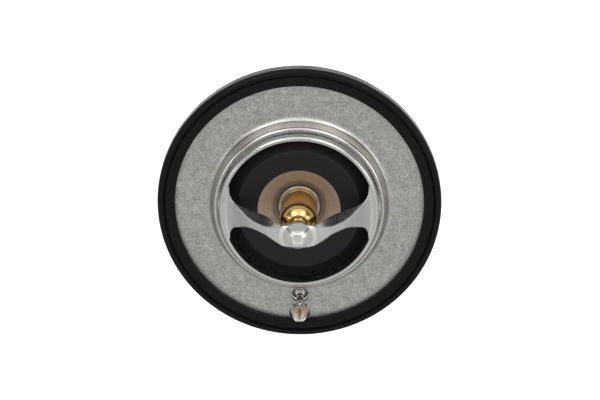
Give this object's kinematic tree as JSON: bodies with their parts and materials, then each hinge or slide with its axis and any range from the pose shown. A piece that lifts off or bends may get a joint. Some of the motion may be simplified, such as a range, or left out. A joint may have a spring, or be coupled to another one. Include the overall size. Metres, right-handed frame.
{
  "type": "engine coolant valve with wax element",
  "caption": "Round flanged coolant valve with a rubber rim gasket, an arched bridge, a sprung wax-driven valve plate, a bypass disc below and a small vent pin.",
  "frame": {"origin": "on the axis, at the middle plane of the flange and of the gasket's outer rim", "axes": "+Z along the axis towards the bridge's crown; the bridge's arms lie along X and the vent pin is at -Y"},
  "size_m": [0.064, 0.064, 0.0606],
  "materials": {
    "flange_steel": "satin, speckled",
    "bridge_steel": "polished pressing",
    "frame_steel": "satin pressing",
    "plate_steel": "turned satin",
    "bright_steel": "polished",
    "spring_steel": "drawn wire",
    "brass": "turned",
    "cup_brass": "drawn",
    "black_rubber": "moulded",
    "valve_rubber": "moulded, bonded",
    "white_plastic": "machined",
    "wax": "filled wax"
  },
  "bodies": {
    "frame": {"flange": "flange_steel", "bridge": "bridge_steel", "gasket": "black_rubber", "lower_frame": "frame_steel", "piston": "bright_steel", "backup_disc": "white_plastic", "rubber_plug": "black_rubber", "main_spring": "spring_steel"},
    "valve": {"valve_plate": "plate_steel", "valve_rubber": "valve_rubber", "retaining_ring": "bright_steel", "element_guide": "brass", "element_cup": "cup_brass", "diaphragm": "black_rubber", "wax_charge": "wax", "bypass_stem": "bright_steel", "bypass_clip": "spring_steel", "bypass_spring": "spring_steel"},
    "bypass": {"bypass_disc": "frame_steel"},
    "vent": {"vent_pin": "bright_steel", "vent_ball": "bright_steel"}
  },
  "joints": [
    {"name": "valve_lift", "type": "slide", "parent": "frame", "child": "valve", "axis": [0, 0, -1], "range_m": [0, 0.009], "stiffness_N_per_m": 4000, "springref_m": -0.012, "deforming": ["main_spring"]},
    {"name": "bypass_slide", "type": "slide", "parent": "valve", "child": "bypass", "axis": [0, 0, 1], "range_m": [0, 0.004], "stiffness_N_per_m": 800, "springref_m": -0.003, "deforming": ["bypass_spring"]},
    {"name": "vent_slide", "type": "slide", "parent": "frame", "child": "vent", "axis": [0, 0, -1], "range_m": [0, 0.0014]}
  ]
}
